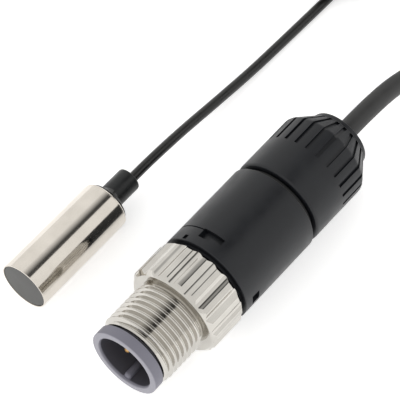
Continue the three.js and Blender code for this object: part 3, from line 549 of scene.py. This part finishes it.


# %% [markdown]
# The insert is grey polyamide of one grade. Its front face is painted a little paler than its side, a painted
# highlight for the light that falls on the front, and down in the socket it is painted dark grey, a painted
# shade for the deep bore where little light reaches. The key keeps its grey at its nose and is painted darker
# with depth, more painted shade. Distances from the insert's own axis and front draw these zones.


# %% Grey polyamide, with painted light and shade
def insert_polyamide():
    material, tree, shader, place = new_surface(
        "grey_polyamide_painted_light_and_shade", {"IOR": 1.53, "Specular IOR Level": 0.4},
    )
    split = add_node(tree, "ShaderNodeSeparateXYZ", links={0: place}).outputs
    flat = add_node(tree, "ShaderNodeCombineXYZ", links={"X": split["X"], "Z": split["Z"]})
    length_of_flat = {"operation": "LENGTH"}
    radius = add_node(tree, "ShaderNodeVectorMath", length_of_flat, {0: flat.outputs[0]}).outputs["Value"]
    within = spread(tree, radius, 1, 0, (SOCKET_R + 0.02) * MM, (SOCKET_R + 0.1) * MM)
    below = spread(tree, split["Y"], 0, 1, 0.3 * MM, 0.5 * MM)
    off_key = spread(tree, calculated(tree, "ABSOLUTE", split["X"]), 0, 1, KEY_R * MM, (KEY_R + 0.02) * MM)
    above_key = spread(tree, split["Z"], 0, 1, -3.0 * MM, -2.9 * MM)
    deep = spread(tree, split["Y"], 0, 1, 0.8 * MM, 3.5 * MM)
    clear_of_key = calculated(tree, "MAXIMUM", calculated(tree, "MAXIMUM", off_key, above_key), deep)
    # inside masks the painted shade: the socket's wall and floor, and the key away from its nose
    inside = calculated(tree, "MULTIPLY", calculated(tree, "MULTIPLY", within, below), clear_of_key)
    # front masks the painted highlight on the insert's front face
    front = spread(tree, split["Y"], 1, 0, 0.03 * MM, 0.16 * MM)
    mix = add_node(tree, "ShaderNodeMix", {"data_type": "RGBA"}, {"Factor": inside})
    # painted highlight: the front face is painted paler than the side
    tree.links.new(two_tones(tree, front, "74737e", "92919a"), mix.inputs["A"])
    # painted shade: the socket's inside is painted dark grey
    mix.inputs["B"].default_value = linear("424148")
    tree.links.new(mix.outputs["Result"], shader.inputs["Base Color"])
    tree.links.new(spread(tree, noise(tree, place, BLOTCH_MM, 3), 0.44, 0.56), shader.inputs["Roughness"])
    tree.links.new(bump(tree, noise(tree, place, 0.12, 3), 0.005), shader.inputs["Normal"])
    return material


INSERT_PA = insert_polyamide()
wear(contact_insert(), INSERT_PA, "sensor", "insert_grey", "contact_insert")

# %% [markdown]
# Four gold-plated pins stand in the socket. Each has a rounded tip, which is all that catches
# the light at the bottom of the dark socket. They are turned like the real ones.

# %% Contact pins
PIN_R = 0.5
PIN_FORWARD = 0.3  # how far the drawn tip stands ahead of the solid one


def contact_pin(number):
    node = f"contact_pin_{number}"
    place = front_of(node, "contact_insert")
    tip, end = span(node)
    front = tip - PIN_FORWARD
    outline = [(0, front), (PIN_R, front, 0.42), (PIN_R, end), (0, end)]
    pin = turned(f"gold_pin_{number}", outline, place, 32)
    return wear(pin, GOLD, "sensor", "contact_gold", node)


for number in (1, 2, 3, 4):
    contact_pin(number)

# %% [markdown]
# A nitrile ring lies behind the insert's flange and seals the mated plug. Only a thin black
# line of it shows, so its outline is a plain ring with a slight crown.

# %% Mouth seal
seal_front, seal_rear = span("mouth_seal_ring")
mouth_seal = turned(
    "mouth_seal",
    [(4.96, seal_front, 0.05), (5.15, seal_front, 0.05), (5.25, (FLANGE_LENGTH + seal_rear) / 2, 0.1),
     (5.15, seal_rear, 0.05), (4.96, seal_rear, 0.05)],
    PLUG,
)
wear(mouth_seal, NITRILE, "sensor", "seal_rubber", "mouth_seal_ring")

# %% [markdown]
# The coupling nut has an M12 x 1 thread on its shank and a grip with eighteen flutes. The
# thread is a right-hand helix: every column of the skin is the same outline, pushed on by
# one pitch for each turn, so its rows run along the crests. The grip's columns stand closer
# at each flute's edges, where they draw a crisp but slightly rounded line.

# %% Coupling nut: thread
THREAD_R = 6.0
THREAD_DEPTH = 0.61
PITCH = 1.0
FIRST_CREST = 3.33
THREAD_END = 10.4
GRIP_FRONT = NUT_FRONT + 8.3
ROWS_PER_PITCH = 24
NUT_BORE = 4.99


def thread_radius(length, angle):
    """The radius of a right-hand thread with flat crests and roots and softened corners."""
    total = 0
    for shift in (-0.022, 0, 0.022):
        phase = (length + shift - FIRST_CREST) / PITCH - (angle - math.radians(22.6)) / (2 * math.pi)
        from_crest = abs(phase - round(phase)) * PITCH
        total += THREAD_R - THREAD_DEPTH * min(1, max(0, (from_crest - 0.0625) / 0.375))
    cut = total / 3
    front_bevel = THREAD_R - THREAD_DEPTH + (length - NUT_FRONT)
    rear_bevel = THREAD_R - THREAD_DEPTH + max(0, THREAD_END - length)
    return min(cut, front_bevel, rear_bevel)


def thread_column(angle):
    """The points of one column, shifted along by the helix and held inside the shank."""
    first = -ROWS_PER_PITCH
    last = round((GRIP_FRONT - NUT_FRONT) * ROWS_PER_PITCH)
    points = []
    for k in range(first, last + 1):
        length = NUT_FRONT + PITCH * (k / ROWS_PER_PITCH + angle / (2 * math.pi))
        length = min(GRIP_FRONT, max(NUT_FRONT, length))
        points.append((thread_radius(length, angle), length))
    return points


# %% [markdown]
# The grip is one outline per column, slimmer where a flute is cut. Its bevels keep their
# angle, so the flutes run out into them, and the nut is hollow behind its shank.

# %% Coupling nut: grip
GRIP_R = 7.7
FLUTES = 18
FLUTE_DEPTH = 0.45
LAND_SHARE = 0.36
FIRST_LAND = math.radians(26)
CREASE = 0.022


def flute_angles():
    """Every column's angle with how deep the flute is there."""
    pitch = 2 * math.pi / FLUTES
    half_land = pitch * LAND_SHARE / 2
    hollow = pitch - 2 * half_land
    steps = 10
    found = []
    for i in range(FLUTES):
        middle = FIRST_LAND + i * pitch
        found += [(middle - half_land * s, 0.0) for s in (0.8, 0.4, 0, -0.4, -0.8)]
        found.append((middle + half_land, CREASE))
        for k in range(1, steps):
            sink = FLUTE_DEPTH * math.sin(math.pi * k / steps)
            found.append((middle + half_land + hollow * k / steps, max(CREASE, sink)))
        found.append((middle + half_land + hollow, CREASE))
    return found


def grip_points(sink):
    """The grip's outline at a column whose flute is this deep: front bevel, flank and rear bevel."""
    radius = GRIP_R - sink
    bevel_front = 7.06
    bevel_rear = 7.2
    outline = [
        (THREAD_R - THREAD_DEPTH + 0.1, GRIP_FRONT),
        (bevel_front, GRIP_FRONT, 0.05),
        (radius, GRIP_FRONT + radius - bevel_front, 0.05),
        (radius, NUT_REAR - 1.1 * (radius - bevel_rear) - 0.02, 0.05),
        (bevel_rear - 0.05, NUT_REAR, 0.04),
        (6.3, NUT_REAR),
    ]
    step = GRIP_FRONT + 0.7
    inner = [(6.0, NUT_REAR - 0.3), (6.0, step), (NUT_BORE, step), (NUT_BORE, NUT_FRONT)]
    return rounded([(0, GRIP_FRONT)] + outline + [(0, NUT_REAR)])[1:-1] + inner


def coupling_nut():
    bm = bmesh.new()
    columns = []
    angles = sorted(flute_angles())
    first_angle, first_sink = angles[0]
    for angle, sink in angles + [(first_angle + 2 * math.pi, first_sink)]:
        shank = thread_column(angle)
        outline = [(NUT_BORE, NUT_FRONT)] + shank + grip_points(sink)
        columns.append([round_point(r, y, angle) for r, y in outline])
    skin(bm, columns)
    return mesh_object("threaded_coupling_nut", bm, PLUG)


wear(coupling_nut(), TURNED_NICKEL, "coupling_nut", "nickel_plate", "coupling_nut")

# %% [markdown]
# The body is a smooth moulded shell with a latch: an L-shaped window, a second window on the
# other side, a small notch, and a fine joint line that runs round the back. The shell's
# columns and rows are placed on the windows' edges, and the faces between those edges are
# pushed in. Pushing faces keeps every wall square, which a bump could not do.

# %% Connector body
BODY_R = 7.5
# angles in degrees from the top towards +X; lengths in millimetres from the body's front; depth
SUNK = [
    (-19.4, -4.4, 1.45, 3.05, 0.8), (-4.4, 8.7, 2.05, 3.05, 0.8), (83.6, 98.6, 1.45, 2.95, 0.8),
    (-36, -30.5, 0.25, 1.05, 0.35), (-225, -19.4, 2.72, 2.92, 0.2),
]


def sink_faces(bm, faces, depth):
    """Pushes faces towards the +Y axis, with square walls round them."""
    made = bmesh.ops.extrude_face_region(bm, geom=faces)["geom"]
    bmesh.ops.delete(bm, geom=faces, context="FACES")
    for vert in (g for g in made if isinstance(g, bmesh.types.BMVert)):
        radial = Vector((vert.co.x, 0, vert.co.z))
        vert.co -= radial.normalized() * depth * MM


def in_window(face, window):
    """Whether a face of the shell's outside lies in a window."""
    start, end, front, rear, _ = window
    middle = face.calc_center_median() / MM
    if math.hypot(middle.x, middle.z) < BODY_R - 0.15:
        return False
    degrees = math.degrees(math.atan2(middle.x, middle.z))
    turns_in = any(start < degrees + full < end for full in (-360, 0, 360))
    return turns_in and front < middle.y - BODY_FRONT < rear


def body_angles():
    """Columns every 3 degrees, but on a window's edge instead where one is near."""
    edges = {edge % 360 for window in SUNK for edge in window[:2]}
    plain = [a for a in range(0, 360, 3) if all(min(abs(a - e), 360 - abs(a - e)) > 1.2 for e in edges)]
    ordered = sorted([*edges, *plain])
    return [math.radians(a) for a in ordered + [ordered[0] + 360]]


def connector_body():
    edge = 0.14
    rows = sorted({BODY_FRONT + length for window in SUNK for length in window[2:4]})
    outline = rounded([
        (0, BODY_FRONT - 0.5), (6.6, BODY_FRONT - 0.5), (6.6, BODY_FRONT), (BODY_R, BODY_FRONT, edge),
        (BODY_R, BODY_REAR, edge), (6.3, BODY_REAR), (6.3, BODY_REAR + 3), (0, BODY_REAR + 3),
    ])
    cut = next(i for i, (r, y) in enumerate(outline) if r == BODY_R and y > rows[-1])
    outline[cut:cut] = [(BODY_R, row) for row in rows]
    bm = bmesh.new()
    skin(bm, [[round_point(r, y, angle) for r, y in outline] for angle in body_angles()])
    bmesh.ops.remove_doubles(bm, verts=bm.verts, dist=WELD)
    for depth in (0.8, 0.35, 0.2):
        windows = [window for window in SUNK if window[4] == depth]
        sink_faces(bm, [f for f in bm.faces if any(in_window(f, w) for w in windows)], depth)
    return mesh_object("plug_body_shell", bm, PLUG)


wear(connector_body(), BLACK_PBT, "sensor", "body_black", "connector_body")

# %% [markdown]
# A second nitrile ring fills the joint between the body and the gland nut. It lies well below
# both, so the joint reads as a deep black line.

# %% Gland seal
gland_seal = turned(
    "gland_seal",
    [(6.3, BODY_REAR + 0.1, 0.1), (6.6, BODY_REAR + 0.1, 0.2), (6.6, GLAND_FRONT - 0.1, 0.2),
     (6.3, GLAND_FRONT - 0.1, 0.1)],
    PLUG,
)
wear(gland_seal, NITRILE, "sensor", "seal_rubber", "gland_seal_ring")

# %% [markdown]
# The gland nut is grooved for the fingers over the end of its straight part and down its
# taper. Each groove keeps one width, so it takes a wider angle as the nut gets slimmer. The
# columns follow the grooves' edges, and the faces between two edges are pushed in.

# %% Gland nut
GLAND_R = 7.4
NOSE_R = 4.9
TAPER_FRONT = GLAND_FRONT + 10.8
RIM_FRONT = GLAND_REAR - 0.7
RIBS = 24
RIB_LENGTH = 4.6
GROOVE_WIDTH = 0.58
GROOVE_DEPTH = 0.34
FIRST_GROOVE = math.radians(17)
LAND_STEPS = 4


def gland_column(index, outline):
    """One column of the gland: two edges for each groove and a few steps over each land."""
    groove, step = divmod(index, LAND_STEPS + 1)
    pitch = 2 * math.pi / RIBS
    middle = FIRST_GROOVE + groove * pitch
    points = []
    for r, y in outline:
        half = GROOVE_WIDTH / 2 / r
        land = pitch - 2 * half
        points.append(round_point(r, y, middle + half + land * step / LAND_STEPS))
    return points


def gland_nut():
    outline = rounded([
        (6.3, GLAND_FRONT + 3), (6.3, GLAND_FRONT), (GLAND_R, GLAND_FRONT, 0.5),
        (GLAND_R, TAPER_FRONT - RIB_LENGTH), (GLAND_R, TAPER_FRONT, 0.25), (NOSE_R + 0.12, RIM_FRONT - 0.15),
        (NOSE_R, RIM_FRONT, 0.05), (NOSE_R, GLAND_REAR, 0.35), (2.0, GLAND_REAR, 0.3),
        (2.0, GLAND_REAR - 2.5),
    ])
    bm = bmesh.new()
    count = RIBS * (LAND_STEPS + 1)
    skin(bm, [gland_column(i, outline) for i in range(count + 1)])
    bmesh.ops.remove_doubles(bm, verts=bm.verts, dist=WELD)
    sunk = []
    for face in bm.faces:
        middle = face.calc_center_median() / MM
        ribbed = TAPER_FRONT - RIB_LENGTH < middle.y < RIM_FRONT - 0.15
        if ribbed and math.hypot(middle.x, middle.z) > NOSE_R:
            turn = (math.atan2(middle.x, middle.z) - FIRST_GROOVE) / (2 * math.pi) * RIBS
            if abs(turn - round(turn)) * 2 * math.pi / RIBS * NOSE_R < GROOVE_WIDTH / 4:
                sunk.append(face)
    sink_faces(bm, sunk, GROOVE_DEPTH)
    return mesh_object("grooved_gland_nut", bm, PLUG)


wear(gland_nut(), BLACK_PBT, "gland_nut", "body_black", "gland_nut")

# %% [markdown]
# The sensing head is a drawn tube, nickel plated like the nut. Its face is a grey cap set
# just inside the front edge, so a bright rim and a dark joint line show round it. Its rear
# edge is turned in over the casting resin, and the resin creeps up the cable boot.

# %% Sensing head
HEAD_R = 4.0
CAP_R = 3.72


def head_tube():
    return turned("nickel_head_tube", [
        (3.8, 1.0), (3.8, 0, 0.05), (HEAD_R, 0, 0.07), (HEAD_R, HEAD_LENGTH - 0.42, 0.03),
        (HEAD_R - 0.12, HEAD_LENGTH - 0.38, 0.02), (HEAD_R - 0.12, HEAD_LENGTH - 0.26, 0.02),
        (HEAD_R - 0.06, HEAD_LENGTH - 0.22, 0.02), (3.75, HEAD_LENGTH, 0.08), (3.45, HEAD_LENGTH, 0.03),
        (3.2, HEAD_LENGTH - 0.12, 0.05), (3.2, HEAD_LENGTH - 0.6), (3.6, HEAD_LENGTH - 0.8),
        (3.6, 1.0),
    ], HEAD, 128)


def head_face():
    return turned("sensing_face_cap", [(0, 0.06), (CAP_R, 0.06, 0.05), (CAP_R, 5), (0, 5)], HEAD, 128)


wear(head_tube(), DRAWN_NICKEL, "sensor", "nickel_plate", "head_case")
wear(head_face(), FACE_PBT, "sensor", "face_grey", "sensing_cap")

# %% [markdown]
# Black resin fills the tube behind its board. It stands as a low bead in the rear rim and
# creeps up the boot by an uneven height, so it is made of columns that differ round the axis.
# The boot is moulded on the lead and stands a little off the tube's middle.

# %% Resin and boot
BOOT_R = 1.93
BOOT_SHIFT = Vector((-0.22 * MM, 0, 0.1 * MM))


def resin_column(angle):
    """The resin's top: a low bead in the tube's mouth, then a creep up the boot, higher on one side."""
    creep = 0.45 + 0.55 * max(0, math.cos(angle + math.radians(35))) ** 2
    rim = HEAD_LENGTH
    return [
        (0, rim - 2), (3.18, rim - 2), (3.18, rim - 0.12), (3.42, rim + 0.01), (3.42, rim + 0.36),
        (3.1, rim + 0.46), (2.7, rim + 0.48 + 0.1 * creep), (2.4, rim + 0.55 + 0.25 * creep),
        (2.14, rim + 0.65 + 0.6 * creep),
        (2.0, rim + 0.7 + 1.2 * creep), (1.6, rim + 0.7 + 1.25 * creep), (0, rim + 0.3),
    ]


def head_resin():
    bm = bmesh.new()
    skin(bm, [[round_point(r, y, angle) for r, y in resin_column(angle)] for angle in full_turn(72)])
    return mesh_object("head_casting_resin", bm, HEAD)


def head_boot():
    return turned("head_cable_boot", [
        (LEAD_R + 0.04, HEAD_LENGTH - 2), (BOOT_R, HEAD_LENGTH - 2), (BOOT_R, BOOT_REAR, 0.32),
        (LEAD_R + 0.25, BOOT_REAR - 0.05, 0.1), (LEAD_R + 0.04, BOOT_REAR - 0.4),
    ], HEAD + BOOT_SHIFT, 64)


wear(head_resin(), RESIN, "sensor", "potting_resin", "potting_plug")
wear(head_boot(), BOOT_RUBBER, "sensor", "boot_black", "cable_boot")

# %% [markdown]
# The amplifier is a black tube in the cable, closed by two caps. A ringed boot guards each
# cord, and an amber window shows the switching lamp. The two ends are alike but for the
# cord's size, so one outline serves both and is mirrored for the near end.

# %% Amplifier
AMP_R = 4.5
AMP_MIDDLE = Vector((AMP_X, (AMP_LOW.y + AMP_HIGH.y) / 2 / MM, AMP_Z)) * MM
AMP_HALF = (AMP_HIGH.y - AMP_LOW.y) / 2 / MM
AMP_END = (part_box("amplifier_cable_cap")[1].y - AMP_MIDDLE.y) / MM
AMP_BOOT_END = CABLE_TIP - AMP_MIDDLE.y / MM


def mirrored(outline, side):
    """An outline of the far end for side 1, or the same at the near end for side -1."""
    return [(r, side * y, *rest) for r, y, *rest in outline]


def amplifier_tube():
    bore = AMP_R - 0.6
    return turned("amplifier_tube", [
        (bore, -AMP_HALF), (AMP_R, -AMP_HALF, 0.2), (AMP_R, AMP_HALF, 0.2), (bore, AMP_HALF),
    ], AMP_MIDDLE)


def amplifier_cap(name, side, cord_r):
    return turned(f"amplifier_end_{name}", mirrored([
        (cord_r + 0.7, AMP_HALF - 1), (AMP_R - 0.75, AMP_HALF - 1), (AMP_R - 0.75, AMP_HALF + 0.12),
        (AMP_R, AMP_HALF + 0.12, 0.1), (AMP_R, AMP_END, 0.4), (cord_r + 0.7, AMP_END, 0.05),
    ], side), AMP_MIDDLE)


def amplifier_boot(name, side, cord_r):
    """A tapered boot with rings cut round it, as on a real boot that bends with its cord."""
    root, tip = cord_r + 0.64, cord_r + 0.4
    outline = [(cord_r + 0.03, AMP_END - 2), (root, AMP_END - 2)]
    rings = 3
    step = (AMP_BOOT_END - AMP_END - 1.2) / rings
    for k in range(rings):
        start = AMP_END + 0.7 + k * step
        here = root + (tip - root) * k / rings
        outline += [(here, start, 0.08), (here - 0.28, start + 0.15, 0.06), (here - 0.28, start + 0.65, 0.06),
                    (here, start + 0.8, 0.08)]
    outline += [(tip, AMP_BOOT_END, 0.2), (cord_r + 0.03, AMP_BOOT_END)]
    return turned(f"amplifier_boot_{name}", mirrored(outline, side), AMP_MIDDLE, 48)


amp_tube = wear(amplifier_tube(), BLACK_PBT, "sensor", "body_black", "amplifier_case")
for name, side, cord_r in (("lead", -1, LEAD_R), ("cable", 1, CABLE_R)):
    cap = amplifier_cap(name, side, cord_r)
    wear(cap, BLACK_PBT, "sensor", "body_black", f"amplifier_{name}_cap")
    boot = amplifier_boot(name, side, cord_r)
    wear(boot, BOOT_RUBBER, "sensor", "boot_black", f"amplifier_{name}_boot")

# %% [markdown]
# The lamp shows through a small amber window of polycarbonate. It stands a hair proud of the
# tube, like a low dome, so that it can be seen from the side.


# %% Lamp window
def lamp_window():
    """A low dome that stands in a hole in the top of the amplifier's tube."""
    low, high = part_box("indicator_window")
    top = AMP_R + 0.05
    bm = turned_mesh([(0, top - 0.9), (0.85, top - 0.9), (0.85, top - 0.12, 0.1), (0, top)], 40)
    bmesh.ops.rotate(bm, verts=bm.verts, matrix=Matrix.Rotation(math.pi / 2, 3, "X"), cent=(0, 0, 0))
    return mesh_object("lamp_window", bm, Vector((AMP_MIDDLE.x, (low.y + high.y) / 2, AMP_MIDDLE.z)))


wear(lamp_window(), AMBER, "sensor", "lamp_amber", "indicator_window")

# %% [markdown]
# A nylon tie holds the strands of each hank. It is one strap that goes round the bundle. The
# strap is swept along a rounded rectangle, which is how a tight strap lies.

# %% Ties
def strap_path(low, high, across, corner, steps=6):
    """Points of a rounded rectangle in X and Z, in millimetres."""
    half = across / 2
    centres = [(half - corner, high - corner, 0), (-half + corner, high - corner, 90),
               (-half + corner, low + corner, 180), (half - corner, low + corner, 270)]
    path = []
    for cx, cz, start in centres:
        for k in range(steps + 1):
            angle = math.radians(start + 90 * k / steps)
            path.append((cx + corner * math.cos(angle), cz + corner * math.sin(angle)))
    return path


def hank_tie(name, node, corner):
    low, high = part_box(node)
    middle = Vector(((low.x + high.x) / 2, (low.y + high.y) / 2, 0))
    width = (high.y - low.y) / MM
    across = (high.x - low.x) / MM
    top = (high.z - low.z) / MM
    thick = 0.32
    outer = strap_path(0.02, top, across, corner)
    inner = strap_path(0.02 + thick, top - thick, across - 2 * thick, corner - thick)
    bm = bmesh.new()
    columns = []
    for (ox, oz), (ix, iz) in zip(outer + outer[:1], inner + inner[:1]):
        half = width / 2
        columns.append([(ox, -half, oz), (ox, half, oz), (ix, half, iz), (ix, -half, iz), (ox, -half, oz)])
    skin(bm, columns)
    return mesh_object(name, bm, middle)


lead_tie = wear(
    hank_tie("lead_hank_tie", "head_lead_tie", 1.2), NYLON_TIE, "sensor", "tie_black", "head_lead_tie",
)
cable_tie = wear(
    hank_tie("cable_hank_tie", "connector_cable_tie", 2.0), NYLON_TIE, "sensor", "tie_black",
    "connector_cable_tie",
)

# %% [markdown]
# The pieces inside are the CAD's own solids, which have the right shape already. They only
# need the materials that they are made of.

# %% Inner pieces
dress(["terminal_block", "clamp_cage", "coil_bobbin"], NATURAL_PA)
dress(["terminal_screw_1", "terminal_screw_2", "terminal_screw_3", "terminal_screw_4"], STEEL)
dress(["nut_clip", "thrust_washer"], STEEL)
dress(["core_brown"], BROWN_PVC)
dress(["core_black"], BLACK_PVC)
dress(["core_blue"], BLUE_PVC)
dress(["cable_jacket_end"], CABLE_PVC)
dress(["lead_jacket_end"], LEAD_PVC)
dress(["cable_grommet"], NITRILE)
dress(["ferrite_core"], FERRITE)
dress(["coil_winding"], COPPER)
dress(["head_circuit_board", "amplifier_board"], MASK_GREEN)
dress(["head_chip", "amplifier_chip"], EPOXY_CHIP)
dress(["head_capacitor", "amplifier_capacitor"], CERAMIC_TAN)
dress(["indicator_lamp"], AMBER)

# %% [markdown]
# The lead goes from the head into the amplifier, and the cable from the plug into its other end.

# %% [markdown]
# The table is a plain sheet of white paper. A little light of its own stands for a sheet that
# is lit from below, which keeps the shadows pale.


# %% Table
def table_top():
    bm = bmesh.new()
    bmesh.ops.create_grid(bm, x_segments=8, y_segments=8, size=1.5)
    return mesh_object("table_top", bm, Vector((0, 0, -0.00002)))


floor = table_top()
paper, tree, shader, place = new_surface(
    "white_paper_sweep",
    {"Roughness": 0.9, "Specular IOR Level": 0.1, "Emission Color": (1, 1, 1, 1), "Emission Strength": 0.45},
)
paper_tone = two_tones(tree, spread(tree, noise(tree, place, 40, 2), 0, 1), "f6f6f6", "fafafa")
tree.links.new(paper_tone, shader.inputs["Base Color"])
floor.data.materials.append(paper)

# %% [markdown]
# The studio is a wide soft dome with one dark gap overhead, on the far side only. The gap is
# soft on its left and sharp on its right. It draws the dark streak along each nickel barrel,
# and leaves the front faces evenly lit.

# %% Studio dome
world = bpy.data.worlds.new("studio_dome")
bpy.context.scene.world = world
world.use_nodes = True
sky = world.node_tree
sky_place = add_node(sky, "ShaderNodeTexCoord").outputs["Generated"]
parts = add_node(sky, "ShaderNodeSeparateXYZ", links={0: sky_place})
lean = calculated(sky, "ARCTAN2", parts.outputs["X"], parts.outputs["Z"])
soft_side = spread(sky, lean, 0, 1, math.radians(-24), math.radians(4))
hard_side = spread(sky, lean, 1, 0, math.radians(15.5), math.radians(18))
far_half = spread(sky, parts.outputs["Y"], 0, 1, 0.05, 0.2)
gap = calculated(sky, "MULTIPLY", calculated(sky, "MULTIPLY", soft_side, hard_side), far_half)
brightness = spread(sky, gap, 1.08, 0.07, 0, 1)
background = sky.nodes["Background"]
background.inputs["Color"].default_value = (1, 0.995, 0.985, 1)
sky.links.new(brightness, background.inputs["Strength"])
